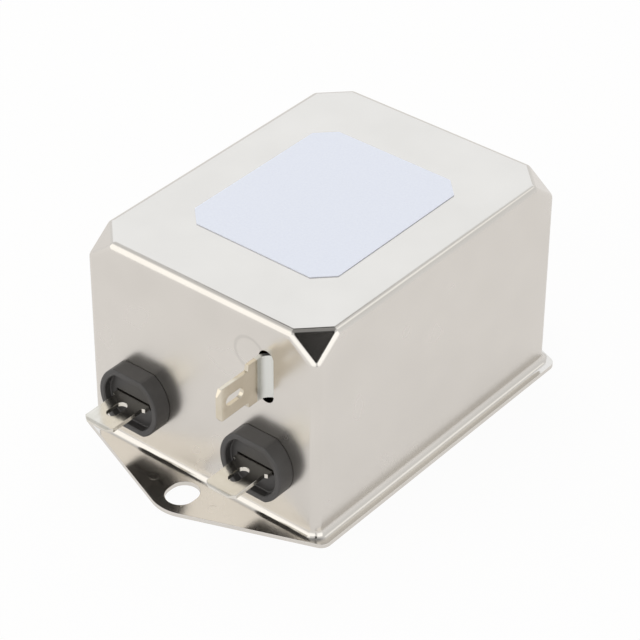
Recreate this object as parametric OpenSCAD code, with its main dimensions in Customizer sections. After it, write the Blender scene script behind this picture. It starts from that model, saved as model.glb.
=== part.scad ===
// Mains EMI line filter: a drawn steel can with two mounting ears, insulated blade
// terminals at both ends, an earth tab, and a two-stage choke and capacitor circuit inside.
// Millimetres. +Z is up, X runs across the can and Y along it. The origin is at the middle
// of the underside of the mounting flange. The line end faces -Y and the load end +Y.

/* [Can] */
// Width of the can across X
can_w = 49.8; // [49:0.1:60]
// Length of the can along Y
can_l = 64.8; // [64:0.1:80]
// Height of the can above the mounting surface
can_h = 40.3; // [38:0.1:50]
// Thickness of the drawn sheet
sheet_t = 0.8; // [0.6:0.05:1]
// Outside radius of the top and upright edges
edge_r = 1.5; // [1.3:0.1:2]
// How far each corner facet runs along the top edges
facet_cut = 5.9; // [4:0.1:8]
// How far each corner facet runs down the upright edge
facet_drop = 4.9; // [4:0.1:8]

/* [Flange and ears] */
// Width of the rim on each long side
rim_w = 2.1; // [1.7:0.1:5]
// Reach of each ear beyond the end of the can
ear_reach = 10.1; // [9.6:0.1:14]
// Radius of the rounded tip of an ear
ear_tip_r = 8; // [6:0.1:9]
// Radius of the four outer corners of the flange
flange_corner_r = 2; // [1:0.1:2.6]
// How far the middle of such a corner lies inside the end of the can
flange_corner_in = 1.1; // [0.8:0.1:2]
// Outside radius of the bend between wall and flange
bend_r = 1.4; // [0.9:0.1:1.6]
// Distance between the two mounting slots
hole_pitch = 75; // [74.6:0.1:76]
// Width of a mounting slot
slot_w = 5.4; // [4:0.1:5.6]
// Length of a mounting slot along the can
slot_l = 6.3; // [6:0.1:6.6]

/* [Terminals] */
// Distance between the two blades of one end
blade_pitch = 27; // [26.4:0.1:28]
// Height of the blades above the mounting surface
blade_z = 12.1; // [12:0.1:16]
// Width of a blade
blade_w = 6.3; // [5:0.1:6.6]
// Thickness of a blade
blade_t = 0.8; // [0.5:0.05:1]
// Reach of the blades and of the earth tab beyond the ends of the can
blade_reach = 11.2; // [10.2:0.1:13]
// Width of the wider root of a blade
root_w = 7.4; // [7:0.1:7.8]
// Distance from the can to the shoulders of a blade
shoulder_y = 3.3; // [2.6:0.1:4]
// Width of the oblong hole in a blade
eye_w = 2; // [1.2:0.1:2.4]
// Length of the oblong hole in a blade
eye_l = 4.2; // [3:0.1:4.6]
// Distance from the tip of a blade to the middle of its hole
eye_from_tip = 5.2; // [4:0.1:5.4]
// Length of the bevel at the tip of a blade
bevel_l = 0.85; // [0.4:0.05:1.2]
// Thickness left at the very tip of a blade
tip_t = 0.35; // [0.2:0.05:0.45]
// Size of the cut corners of the tip, across the blade
tip_cut = 1.1; // [0.6:0.1:1.5]

/* [Insulators] */
// Diameter of the round sides of an insulator
cup_d = 13; // [12.4:0.1:13.6]
// Height of an insulator over its flat top and bottom
cup_h = 11.4; // [11:0.1:11.6]
// Depth of an insulator in front of the can
cup_depth = 3.4; // [3:0.1:4]
// Thickness of the floor of its recess
cup_floor = 1.85; // [1.2:0.05:2.2]
// Width of the rim round its recess
cup_rim = 1.15; // [0.8:0.05:1.4]
// Diameter of the neck through the can wall
neck_d = 9.2; // [9:0.1:9.4]
// Length of the neck behind the can wall
neck_in = 1.6; // [1.2:0.1:2]
// Width of the soldering end of a blade inside the can
solder_w = 5; // [3.6:0.1:6]
// Length of that soldering end behind the wall
solder_l = 5.6; // [5:0.1:6]
// Height of the snap lugs on the neck
lug_h = 0.6; // [0.3:0.1:0.8]
// Width of the snap lugs
lug_w = 5; // [3:0.1:6]

/* [Earth tab] */
// Distance of the middle of the earth tab from the middle of the can
earth_x = 13.6; // [13.2:0.1:14]
// Height of the middle of the earth tab
earth_z = 29.3; // [29:0.1:31]
// Distance from the tip of the earth tab to the middle of its hole
earth_eye_from_tip = 4; // [3.6:0.1:4.4]
// Width of the wide part of the earth tab
earth_root_w = 8.4; // [7.4:0.1:8.6]
// Distance from the can to the shoulders of the earth tab
earth_shoulder_y = 3.8; // [3:0.1:4.4]
// Inner radius of the bend into the foot
earth_bend_r = 2; // [1.5:0.1:2.2]
// Length of the foot behind the wall
earth_foot_l = 6.6; // [6:0.1:7]
// Height of the slot that the tab comes through
earth_slot_h = 10.2; // [9.8:0.1:11]
// Width of the strip from the foot to the board
strip_w = 3.8; // [2:0.1:4]
// Thickness of that strip
strip_t = 0.5; // [0.3:0.05:0.6]

/* [Label] */
// Width of the blank label
label_w = 31; // [20:0.1:36]
// Length of the blank label
label_l = 37.6; // [24:0.1:46]
// Size of its cut corners
label_cut = 3.3; // [1:0.1:5]
// Thickness of the label
label_t = 0.15; // [0.1:0.05:0.3]

/* [Board and base] */
// Thickness of the closing plate in the mouth of the can
plate_t = 0.8; // [0.6:0.1:1]
// Thickness of the resin between plate and board
resin_t = 1.9; // [1.5:0.1:2.1]
// Thickness of the circuit board
board_t = 1.6; // [1.2:0.1:1.6]
// Clearance of the board from the can walls
board_gap = 0.3; // [0.2:0.05:0.5]

/* [Chokes] */
// Distance of each choke from the middle of the can
choke_y = 11.4; // [11.2:0.1:11.6]
// Outside diameter of a ring core
core_d = 26; // [24:0.1:26.4]
// Bore diameter of a ring core
core_bore = 14; // [13:0.1:15]
// Width of a ring core along its axis
core_w = 10; // [9:0.1:10.2]
// Radius of the core's edges
core_edge_r = 0.8; // [0.4:0.1:1]
// Thickness of the wire on the core
wire_t = 1.1; // [0.9:0.05:1.15]
// Turns that show on each half of a core
turns = 14; // [8:1:16]
// Angle that one winding covers
wound_angle = 144; // [130:1:146]
// Diameter of a winding's leads
lead_d = 1.1; // [0.8:0.05:1.2]
// Thickness of the foot of a choke stand
stand_t = 1; // [0.8:0.1:1.4]
// Height of the saddle between that foot and the core
saddle_t = 1.4; // [1.2:0.1:1.8]
// Thickness of the divider in the bore
divider_t = 1.6; // [1:0.1:2]

/* [Capacitors and resistor] */
// Length of an end capacitor across the can
end_cap_w = 17.6; // [15:0.1:17.8]
// Thickness of an end capacitor
end_cap_d = 7.2; // [6:0.1:7.6]
// Height of an end capacitor
end_cap_h = 14.5; // [11:0.1:18]
// Length of the middle capacitor across the can
mid_cap_w = 26.4; // [22:0.1:32]
// Thickness of the middle capacitor
mid_cap_d = 8; // [6:0.1:8.4]
// Height of the middle capacitor
mid_cap_h = 17.5; // [14:0.1:24]
// Diameter of the leads of capacitors and resistor
pin_d = 0.8; // [0.6:0.05:1]
// Diameter of a disc capacitor
disc_d = 9; // [8:0.1:11]
// Thickness of a disc capacitor
disc_t = 4; // [3:0.1:4.2]
// Length of the resistor's body
resistor_l = 9; // [7:0.1:10]
// Diameter of the resistor's body
resistor_d = 3.2; // [2.4:0.1:3.6]
// Diameter of the wires from the blades to the board
link_d = 1.2; // [0.8:0.1:1.4]

/* [Hidden] */
$fn = 48;

// Clearances: a snug seat, and a lead in its hole
seat_gap = 0.05;
lead_gap = 0.1;

// Steps round each blended edge of the can
blend_steps = 8;

// How far two curved surfaces that would only touch are run into each other, so that they
// cross along one clean line
cross_in = 0.03;
flank_in = 0.003;

// Inside of the can
in_w = can_w - 2 * sheet_t;
in_l = can_l - 2 * sheet_t;
in_r = edge_r - sheet_t;
end_y = can_l / 2;

// Flange
flange_w = can_w + 2 * rim_w;
ear_tip = [0, end_y + ear_reach - ear_tip_r];
flange_corner = [flange_w / 2 - flange_corner_r, end_y - flange_corner_in];
mouth_z = sheet_t + bend_r;

// Heights of the stack in the mouth of the can
plate_z = mouth_z + seat_gap;
resin_z = plate_z + plate_t;
board_z = resin_z + resin_t;
board_top = board_z + board_t;

// Blades, and the wire hole near the end of each one
blade_x = blade_pitch / 2;
solder_eye = solder_l - link_d;

// Earth tab and the capsule-shaped slot that holds it
earth_face = earth_x + blade_t / 2;
earth_slot_gap = 0.2;
earth_slot_w = blade_t + earth_bend_r + earth_slot_gap;
earth_slot_x = earth_face - blade_t - earth_slot_gap + earth_slot_w / 2;
earth_foot_end = earth_face + earth_bend_r + earth_foot_l;
strip_inset = 0.2;
strip_x = earth_foot_end - strip_inset - strip_w / 2;
strip_y = -end_y + sheet_t + blade_t;
strip_top = earth_z + earth_root_w / 4;

// Chokes
ring_t = (core_d - core_bore) / 2;
ring_mid = (core_d + core_bore) / 4;
wire_gap = 0.1;
sleeve_t = 0.4;
core_z = board_top + stand_t + saddle_t + core_d / 2;
lead_angle = 24;
lead_r = core_d / 2 - 2;
lead_x = lead_r * sin(lead_angle);
lead_y = core_w / 2 + wire_gap + wire_t / 2;
lead_top = core_z - lead_r * cos(lead_angle);
turn_share = 0.78;
saddle_w = 5;
saddle_side = 0.4;
stand_margin_x = 1.2;
stand_margin_y = 0.4;
stand_corner_r = 1;

// Places of the parts that stand on the board
part_gap = 0.9;
end_cap_y = choke_y + lead_y + wire_t / 2 + part_gap + end_cap_d / 2;
side_x = 19.3;
end_cap_pitch = 15;
mid_cap_pitch = 22.5;
disc_pitch = 7.5;
disc_lift = 1;
resistor_pitch = 13;
resistor_waist = 0.84;
resistor_end = 0.28;
box_corner_r = 0.8;
disc_rim_r = 0.35 * disc_t;
link_over = 0.8;
lug_root = 0.6;
lug_end = 0.4;
link_y = end_y - sheet_t - solder_eye;

// Every lead that goes through the board, as [x, y, diameter]
function pair_x(pitch, y, d) = [for (s = [-1, 1]) [s * pitch / 2, y, d]];
function pair_y(x, y, pitch, d) = [for (s = [-1, 1]) [x, y + s * pitch / 2, d]];
choke_leads = [for (sx = [-1, 1], sy = [-1, 1]) [sx * lead_x, sy * lead_y, lead_d]];
board_leads = concat(
    pair_x(end_cap_pitch, -end_cap_y, pin_d),
    pair_x(mid_cap_pitch, 0, pin_d),
    pair_x(end_cap_pitch, end_cap_y, pin_d),
    pair_y(-side_x, choke_y, disc_pitch, pin_d),
    pair_y(side_x, choke_y, disc_pitch, pin_d),
    pair_y(-side_x, -choke_y, resistor_pitch, pin_d),
    [for (c = choke_leads, s = [-1, 1]) [c[0], c[1] + s * choke_y, c[2]]],
    [for (sx = [-1, 1], sy = [-1, 1]) [sx * blade_x, sy * link_y, link_d]]
);

// ---------- shared shapes ----------

// Rectangle with true round corners, centred
module round_rect(w, h, r) {
    square([w - 2 * r, h], center = true);
    square([w, h - 2 * r], center = true);
    for (sx = [-1, 1], sy = [-1, 1])
        translate([sx * (w / 2 - r), sy * (h / 2 - r)]) circle(r);
}

// Slot with round ends, its length along Y, centred
module oblong(w, l) {
    square([w, l - w], center = true);
    for (s = [-1, 1]) translate([0, s * (l - w) / 2]) circle(d = w);
}

// Rectangle with cut corners, centred
module cut_rect(w, l, c) {
    polygon([
        [w / 2 - c, -l / 2], [w / 2, -l / 2 + c], [w / 2, l / 2 - c], [w / 2 - c, l / 2],
        [-w / 2 + c, l / 2], [-w / 2, l / 2 - c], [-w / 2, -l / 2 + c], [-w / 2 + c, -l / 2]
    ]);
}

// Straight lead from the underside of the board up to a height
module lead(x, y, top, d) {
    translate([x, y, board_z]) cylinder(h = top - board_z, d = d);
}

// Turns a piece made for the load end (+Y) to the line end, keeping left and right as seen in plan
module at_end(line) {
    if (line) mirror([0, 1, 0]) children();
    else children();
}

// ---------- can ----------

function unit(v) = v / norm(v);

// Points of a ball between three directions
function ball_patch(at, r, u, v, w) = [
    for (i = [0 : blend_steps], j = [0 : blend_steps - i])
        at + r * unit(i * u + j * v + (blend_steps - i - j) * w)
];

// Block with blended edges and a facet at each top corner, moved inwards by a wall
module can_block(wall, foot_z) {
    r = edge_r - wall;
    a = [can_w / 2 - edge_r, can_l / 2 - facet_cut, can_h - edge_r];
    b = [can_w / 2 - facet_cut, can_l / 2 - edge_r, can_h - edge_r];
    c = [can_w / 2 - edge_r, can_l / 2 - edge_r, can_h - facet_drop];
    facet = unit(cross(c - a, b - a));
    foot = [
        for (i = [0 : blend_steps])
            [c[0], c[1], foot_z] + r * unit([i, blend_steps - i, 0])
    ];
    quarter = concat(
        ball_patch(a, r, [0, 0, 1], [1, 0, 0], facet),
        ball_patch(b, r, [0, 0, 1], [0, 1, 0], facet),
        ball_patch(c, r, [1, 0, 0], [0, 1, 0], facet),
        foot
    );
    points = [for (sx = [-1, 1], sy = [-1, 1], p = quarter) [sx * p[0], sy * p[1], p[2]]];
    hull() polyhedron(points, [[for (i = [0 : len(points) - 1]) i]]);
}

// Outline of the flange with both ears: rounded tips and corners joined by tangent flanks
module flange_outline() {
    across = flange_corner - ear_tip;
    lean = atan2(-across[1], across[0]) + asin((ear_tip_r - flange_corner_r) / norm(across));
    out = [sin(lean), cos(lean)];
    flank = [ear_tip + (ear_tip_r - flank_in) * out,
        flange_corner + (flange_corner_r - flank_in) * out];
    side = [flange_w / 2, flange_corner[1]];
    quarter = [[0, ear_tip[1]], flank[0], flank[1], side, [0, side[1]]];
    for (sx = [0, 1], sy = [0, 1]) mirror([sx, 0]) mirror([0, sy]) {
        polygon(quarter);
        translate([0, -seat_gap]) square([flange_w / 2, flange_corner[1] + seat_gap]);
        translate(flange_corner) circle(flange_corner_r);
    }
    for (s = [-1, 1]) translate([0, s * ear_tip[1]]) circle(ear_tip_r);
}

// Profile swept round the rectangle w by l with corner radius r: x of the profile points outwards
module sweep_round(w, l, r) {
    for (a = [0, 180]) rotate([0, 0, a]) {
        translate([w / 2, 0, 0]) rotate([90, 0, 0])
            linear_extrude(l - 2 * r, center = true) children();
        translate([0, l / 2, 0]) rotate([90, 0, 90])
            linear_extrude(w - 2 * r, center = true) children();
    }
    for (sx = [0, 1], sy = [0, 1]) mirror([sx, 0, 0]) mirror([0, sy, 0])
        translate([w / 2 - r, l / 2 - r, 0]) rotate_extrude(angle = 90)
            translate([r, 0]) children();
}

// Outer bend: fills the corner between wall and flange with a hollow curve
module bend_fill() {
    root = sheet_t / 2;
    difference() {
        translate([-root, sheet_t / 2]) square([root + bend_r, bend_r + sheet_t / 2]);
        translate([bend_r - cross_in, sheet_t + bend_r - cross_in]) circle(bend_r);
    }
}

// Inner bend: what the rounded mouth takes out of the flange
module mouth_cut() {
    r = bend_r + sheet_t;
    difference() {
        translate([-in_r / 2, -1]) square([in_r / 2 + r, r + 1]);
        translate([r - cross_in, r - cross_in]) circle(r);
    }
}

// Capsule-shaped hole through the end wall for the earth tab
module earth_slot(depth) {
    translate([earth_slot_x, -end_y - depth / 2, earth_z]) rotate([-90, 0, 0])
        linear_extrude(depth) oblong(earth_slot_w, earth_slot_h);
}

module can() {
    color("gainsboro") difference() {
        union() {
            can_block(0, 0);
            linear_extrude(sheet_t) flange_outline();
            intersection() {
                linear_extrude(2 * mouth_z) flange_outline();
                sweep_round(can_w, can_l, edge_r) bend_fill();
            }
        }
        can_block(sheet_t, -1);
        sweep_round(in_w, in_l, in_r) mouth_cut();
        for (s = [-1, 1]) translate([0, s * hole_pitch / 2, -1])
            linear_extrude(sheet_t + 2) oblong(slot_w, slot_l);
        for (sx = [-1, 1], sy = [-1, 1])
            translate([sx * blade_x, sy * end_y, blade_z]) rotate([90, 0, 0])
                cylinder(h = 4 * sheet_t, d = neck_d + 2 * seat_gap, center = true);
        earth_slot(4 * sheet_t);
    }
}

module base_plate() {
    color("silver") translate([0, 0, plate_z]) linear_extrude(plate_t)
        round_rect(in_w - 2 * seat_gap, in_l - 2 * seat_gap, in_r);
}

module resin_layer() {
    color("dimgray") translate([0, 0, resin_z]) linear_extrude(resin_t)
        round_rect(in_w - 2 * seat_gap, in_l - 2 * seat_gap, in_r);
}

// Board, open at its edge where the earth strip passes
module circuit_board() {
    color("darkgreen") difference() {
        translate([0, 0, board_z]) linear_extrude(board_t)
            round_rect(in_w - 2 * board_gap, in_l - 2 * board_gap, in_r);
        for (p = board_leads) translate([p[0], p[1], board_z - 1])
            cylinder(h = board_t + 2, d = p[2] + 2 * lead_gap);
        translate([strip_x - strip_w / 2 - lead_gap, strip_y - 2, board_z - 1])
            cube([strip_w + 2 * lead_gap, strip_t + 2 + lead_gap, board_t + 2]);
    }
}

module label() {
    color("aliceblue") translate([0, 0, can_h]) linear_extrude(label_t)
        cut_rect(label_w, label_l, label_cut);
}

// ---------- terminals ----------

// Outline of an insulator: a circle with a flat top and bottom
module cup_outline(d, h) {
    intersection() {
        circle(d = d);
        square([2 * d, h], center = true);
    }
}

// Insulator with its axis along Z and its outer end up; the can wall lies just below z = 0
module insulator_shape() {
    behind = sheet_t + neck_in;
    difference() {
        union() {
            linear_extrude(cup_depth) cup_outline(cup_d, cup_h);
            translate([0, 0, -behind]) cylinder(h = behind + 1, d = neck_d);
            for (s = [-1, 1]) snap_lug(s);
        }
        translate([0, 0, cup_floor]) linear_extrude(cup_depth)
            cup_outline(cup_d - 2 * cup_rim, cup_h - 2 * cup_rim);
        translate([-root_w / 2 - seat_gap, -blade_t / 2 - seat_gap, -behind - 1])
            cube([root_w + 2 * seat_gap, blade_t + 2 * seat_gap, behind + cup_depth + 1]);
    }
}

// Wedge behind the can wall that keeps the insulator in its hole
module snap_lug(side) {
    base = neck_d / 2 - lug_root;
    peak = neck_d / 2 + lug_h;
    catch_z = -sheet_t - seat_gap;
    end_z = -sheet_t - neck_in;
    translate([-lug_w / 2, 0, 0]) rotate([90, 0, 90]) linear_extrude(lug_w)
        polygon([[side * base, catch_z], [side * peak, catch_z], [side * (base + lug_end), end_z],
            [side * base, end_z]]);
}

// Insulator in the load end
module insulator(side) {
    color("black") translate([side * blade_x, end_y, blade_z]) rotate([-90, 0, 0])
        insulator_shape();
}

// Flat outline of a blade: x across it, y outwards from the face of the can
module blade_outline(root, shoulder, inner, eye) {
    w = blade_w / 2;
    difference() {
        union() {
            polygon([
                [-w, shoulder - 1], [w, shoulder - 1], [w, blade_reach - bevel_l],
                [w - tip_cut, blade_reach], [tip_cut - w, blade_reach],
                [-w, blade_reach - bevel_l]
            ]);
            translate([-root / 2, inner]) square([root, shoulder - inner]);
        }
        translate([0, blade_reach - eye]) oblong(eye_w, eye_l);
    }
}

// Two wedges that bevel the tip of a blade lying flat, its middle plane at z = 0
module tip_bevels() {
    start = blade_reach - bevel_l;
    past = blade_reach + 1;
    for (s = [-1, 1]) rotate([90, 0, 90]) linear_extrude(2 * blade_w, center = true)
        polygon([
            [start, s * blade_t / 2], [start, s * blade_t], [past, s * blade_t],
            [past, s * tip_t / 2], [blade_reach, s * tip_t / 2]
        ]);
}

// Blade of the load end, with a narrower soldering end inside the can
module blade(side) {
    inner = -sheet_t - neck_in;
    color("gainsboro") translate([side * blade_x, end_y, blade_z]) difference() {
        translate([0, 0, -blade_t / 2]) linear_extrude(blade_t) difference() {
            union() {
                blade_outline(root_w, shoulder_y, inner, eye_from_tip);
                translate([-solder_w / 2, -sheet_t - solder_l])
                    square([solder_w, solder_l + sheet_t]);
            }
            translate([0, -sheet_t - solder_eye]) circle(d = link_d + 2 * lead_gap);
        }
        tip_bevels();
    }
}

// Wire from the soldering end of a blade straight down through the board
module link(side) {
    color("orange")
        lead(side * blade_x, link_y, blade_z + blade_t / 2 + link_over, link_d);
}

// Earth tab: an upright blade that bends into a foot behind the end wall
module earth_tab() {
    bend_start = earth_bend_r - sheet_t;
    color("tan") {
        translate([earth_x, -end_y, earth_z]) mirror([0, 1, 0]) rotate([0, 90, 0])
            difference() {
                translate([0, 0, -blade_t / 2]) linear_extrude(blade_t)
                    blade_outline(earth_root_w, earth_shoulder_y, bend_start,
                        earth_eye_from_tip);
                tip_bevels();
            }
        translate([earth_face + earth_bend_r, -end_y + sheet_t - earth_bend_r, earth_z])
            rotate([0, 0, 90]) rotate_extrude(angle = 90)
                translate([earth_bend_r + blade_t / 2, 0])
                    square([blade_t, earth_root_w], center = true);
        translate([earth_face + earth_bend_r, strip_y - blade_t, earth_z - earth_root_w / 2])
            cube([earth_foot_l, blade_t, earth_root_w]);
    }
}

// Strip welded to the back of that foot and led down into the board
module earth_strip() {
    color("goldenrod")
        translate([strip_x - strip_w / 2, strip_y, board_z])
            cube([strip_w, strip_t, strip_top - board_z]);
}

// ---------- chokes ----------

// Places a choke made round the origin, its axis along Y, at the line or the load side
module choke_place(s) {
    translate([0, s * choke_y, core_z]) rotate([90, 0, 0]) children();
}

module choke_core(s) {
    color("seagreen") choke_place(s) rotate_extrude()
        translate([ring_mid, 0]) round_rect(ring_t, core_w, core_edge_r);
}

// Section of a winding: a band round the section of the core, between two distances from it
module wire_band(near, far) {
    translate([ring_mid, 0]) difference() {
        round_rect(ring_t + 2 * far, core_w + 2 * far, core_edge_r + far);
        round_rect(ring_t + 2 * near, core_w + 2 * near, core_edge_r + near);
    }
}

// Winding on one half of a core, with a lead at each face of it down through the board
module choke_winding(s, side) {
    pitch = wound_angle / turns;
    color("peru") mirror([side < 0 ? 1 : 0, 0, 0]) {
        choke_place(s) rotate([0, 0, -wound_angle / 2]) {
            rotate_extrude(angle = wound_angle) wire_band(wire_gap, wire_gap + sleeve_t);
            for (i = [0 : turns - 1]) rotate([0, 0, (i + (1 - turn_share) / 2) * pitch])
                rotate_extrude(angle = pitch * turn_share)
                    wire_band(wire_gap + sleeve_t / 2, wire_gap + wire_t);
        }
        for (sy = [-1, 1]) lead(lead_x, s * choke_y + sy * lead_y, lead_top, lead_d);
    }
}

// Moulded stand: a foot on the board and a saddle that holds the core between its windings
module choke_stand(s) {
    foot_w = 2 * (lead_x + lead_d / 2 + stand_margin_x);
    foot_l = 2 * (lead_y + lead_d / 2 + stand_margin_y);
    color("ivory") translate([0, s * choke_y, board_top]) difference() {
        union() {
            linear_extrude(stand_t) round_rect(foot_w, foot_l, stand_corner_r);
            translate([-saddle_w / 2, -core_w / 2, 0])
                cube([saddle_w, core_w, stand_t + saddle_t + saddle_side]);
        }
        translate([0, 0, core_z - board_top]) rotate([90, 0, 0])
            cylinder(h = 2 * core_w, d = core_d + 2 * seat_gap, center = true);
        for (p = choke_leads) translate([p[0], p[1], -1])
            cylinder(h = stand_t + 2, d = p[2] + 2 * lead_gap);
    }
}

// Plate across the bore that keeps the two windings apart
module choke_divider(s) {
    reach = sqrt(pow(core_bore / 2, 2) - pow(divider_t / 2, 2)) - lead_gap;
    color("ivory") translate([0, s * choke_y, core_z])
        cube([divider_t, core_w + 2 * wire_t, 2 * reach], center = true);
}

// ---------- capacitors and resistor ----------

// Boxed film capacitor across the can, standing on the board
module box_capacitor(y, w, d, h, pitch, shade) {
    color(shade) {
        translate([0, y, board_top]) linear_extrude(h) round_rect(w, d, box_corner_r);
        for (p = pair_x(pitch, y, pin_d)) lead(p[0], p[1], board_top + 1, p[2]);
    }
}

// Disc capacitor in the plane of X, with two upright leads
module disc_capacitor(side) {
    z = board_top + disc_lift + disc_d / 2;
    color("cornflowerblue") {
        translate([side * side_x, choke_y, z]) rotate([0, 90, 0]) rotate_extrude()
            intersection() {
                round_rect(disc_d, disc_t, disc_rim_r);
                translate([0, -disc_t]) square([disc_d, 2 * disc_t]);
            }
        for (p = pair_y(side * side_x, choke_y, disc_pitch, pin_d)) lead(p[0], p[1], z, p[2]);
    }
}

// Axial resistor lying along Y, its leads bent down through the board
module bleed_resistor() {
    z = board_top + resistor_d / 2;
    color("wheat") {
        translate([-side_x, -choke_y, z]) rotate([90, 0, 0]) {
            cylinder(h = resistor_l, d = resistor_d * resistor_waist, center = true);
            for (s = [-1, 1]) translate([0, 0, s * resistor_l * (1 - resistor_end) / 2])
                cylinder(h = resistor_l * resistor_end, d = resistor_d, center = true);
            cylinder(h = resistor_pitch, d = pin_d, center = true);
        }
        for (p = pair_y(-side_x, -choke_y, resistor_pitch, pin_d)) {
            translate([p[0], p[1], z]) sphere(d = p[2]);
            lead(p[0], p[1], z, p[2]);
        }
    }
}

// ---------- nodes ----------

can();
base_plate();
resin_layer();
circuit_board();
label();
at_end(true) insulator(-1);  // line_insulator_left
at_end(true) insulator(1);  // line_insulator_right
at_end(false) insulator(-1);  // load_insulator_left
at_end(false) insulator(1);  // load_insulator_right
at_end(true) blade(-1);  // line_blade_left
at_end(true) blade(1);  // line_blade_right
at_end(false) blade(-1);  // load_blade_left
at_end(false) blade(1);  // load_blade_right
at_end(true) link(-1);  // line_link_left
at_end(true) link(1);  // line_link_right
at_end(false) link(-1);  // load_link_left
at_end(false) link(1);  // load_link_right
earth_tab();
earth_strip();
choke_core(-1);  // choke_core_line
choke_core(1);  // choke_core_load
choke_winding(-1, -1);  // choke_winding_line_left
choke_winding(-1, 1);  // choke_winding_line_right
choke_winding(1, -1);  // choke_winding_load_left
choke_winding(1, 1);  // choke_winding_load_right
choke_stand(-1);  // choke_stand_line
choke_stand(1);  // choke_stand_load
choke_divider(-1);  // choke_divider_line
choke_divider(1);  // choke_divider_load
box_capacitor(-end_cap_y, end_cap_w, end_cap_d, end_cap_h, end_cap_pitch, "gold");  // x_capacitor_line
box_capacitor(0, mid_cap_w, mid_cap_d, mid_cap_h, mid_cap_pitch, "khaki");  // x_capacitor_middle
box_capacitor(end_cap_y, end_cap_w, end_cap_d, end_cap_h, end_cap_pitch, "gold");  // x_capacitor_load
disc_capacitor(-1);  // y_capacitor_left
disc_capacitor(1);  // y_capacitor_right
bleed_resistor();
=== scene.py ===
# %% [markdown]
# # A mains line filter
# The object is a small steel can that sits on a chassis and keeps electrical noise out of the
# mains. This lesson dresses a finished CAD model of it. The CAD model is the frame: it says where
# everything is, and each piece made here takes its place from it.

# %% Load the frame
import math

import bmesh
import bpy
from mathutils import Matrix, Vector


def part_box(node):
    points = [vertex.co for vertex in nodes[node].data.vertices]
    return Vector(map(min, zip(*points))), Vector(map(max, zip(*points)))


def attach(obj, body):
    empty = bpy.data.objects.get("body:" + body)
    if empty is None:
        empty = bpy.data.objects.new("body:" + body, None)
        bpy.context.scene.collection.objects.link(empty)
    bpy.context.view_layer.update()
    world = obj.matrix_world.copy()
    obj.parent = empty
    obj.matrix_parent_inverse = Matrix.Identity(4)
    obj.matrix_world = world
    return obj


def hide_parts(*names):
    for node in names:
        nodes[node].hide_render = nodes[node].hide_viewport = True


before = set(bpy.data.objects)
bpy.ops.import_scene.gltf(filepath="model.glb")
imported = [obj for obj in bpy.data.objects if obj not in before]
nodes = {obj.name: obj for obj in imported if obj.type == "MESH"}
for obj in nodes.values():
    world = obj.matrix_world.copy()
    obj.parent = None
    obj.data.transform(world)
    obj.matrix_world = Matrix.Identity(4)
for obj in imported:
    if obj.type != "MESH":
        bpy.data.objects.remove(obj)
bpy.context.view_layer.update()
MM = 0.001
print("frame holds", len(nodes), "nodes")

# %% [markdown]
# ## Camera
# A long lens a little under half a metre away keeps the verticals nearly parallel. The camera is
# placed by turning three axes, which is exact, instead of by aiming it.

# %% Camera
AZIMUTH, ELEVATION, ROLL = (math.radians(v) for v in (39.131, 35.867, 0.336))
DISTANCE, TARGET = 451.85, Vector((-0.932, 0.0, 15.423))
back = Vector((math.sin(AZIMUTH) * math.cos(ELEVATION),
               -math.cos(AZIMUTH) * math.cos(ELEVATION), math.sin(ELEVATION)))
level = Vector((math.cos(AZIMUTH), math.sin(AZIMUTH), 0.0))
over = back.cross(level)
right = level * math.cos(ROLL) + over * math.sin(ROLL)
up = over * math.cos(ROLL) - level * math.sin(ROLL)
camera = bpy.data.objects.new("camera", bpy.data.cameras.new("camera"))
bpy.context.scene.collection.objects.link(camera)
camera.matrix_world = Matrix.Translation((TARGET + back * DISTANCE) * MM) @ Matrix(
    (right, up, back)).transposed().to_4x4()
camera.data.sensor_width = 36
camera.data.lens = 146.096
camera.data.clip_start = 0.01
bpy.context.scene.camera = camera
bpy.context.scene.view_settings.view_transform = "Standard"
print("camera at", [round(v, 4) for v in camera.location])

# %% [markdown]
# ## Helpers for materials
# A material is a small graph. One function adds a node with its settings and its links, and
# another turns an sRGB hex value, as a colour picker gives it, into the linear numbers that
# Blender works with.

# %% Helpers for materials
def linear(code):
    """Linear colour from an sRGB hex value such as "D8D4CE"."""
    srgb = [int(code[i:i + 2], 16) / 255 for i in (0, 2, 4)]
    return [v / 12.92 if v <= 0.04045 else ((v + 0.055) / 1.055) ** 2.4 for v in srgb] + [1.0]


def add(tree, kind, inputs=(), **settings):
    """Adds a node. inputs maps a socket's name or number to a value or to another socket."""
    made = tree.nodes.new(kind)
    for name, value in settings.items():
        setattr(made, name, value)
    for name, value in dict(inputs).items():
        if isinstance(value, bpy.types.NodeSocket):
            tree.links.new(value, made.inputs[name])
        else:
            made.inputs[name].default_value = value
    return made


def start_material(name):
    """A new material with a bare shader. Returns it, its tree and the object coordinates."""
    made = bpy.data.materials.new(name)
    made.use_nodes = True
    tree = made.node_tree
    tree.nodes.clear()
    place = add(tree, "ShaderNodeTexCoord").outputs["Object"]
    return made, tree, place


def finish_material(tree, shader):
    add(tree, "ShaderNodeOutputMaterial", {"Surface": shader.outputs[0]})


def spread(tree, value, low, high):
    """Spreads a noise value, which mostly lies from 0.3 to 0.7, over low to high."""
    return add(tree, "ShaderNodeMapRange", {"Value": value, "From Min": 0.3, "From Max": 0.7,
                                            "To Min": low, "To Max": high}).outputs[0]


def two_tone(tree, value, first, second):
    """Colour that goes from first to second with a noise value."""
    share = spread(tree, value, 0.0, 1.0)
    mix = add(tree, "ShaderNodeMix", {0: share, 6: linear(first), 7: linear(second)},
              data_type="RGBA")
    return mix.outputs[2]


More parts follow.
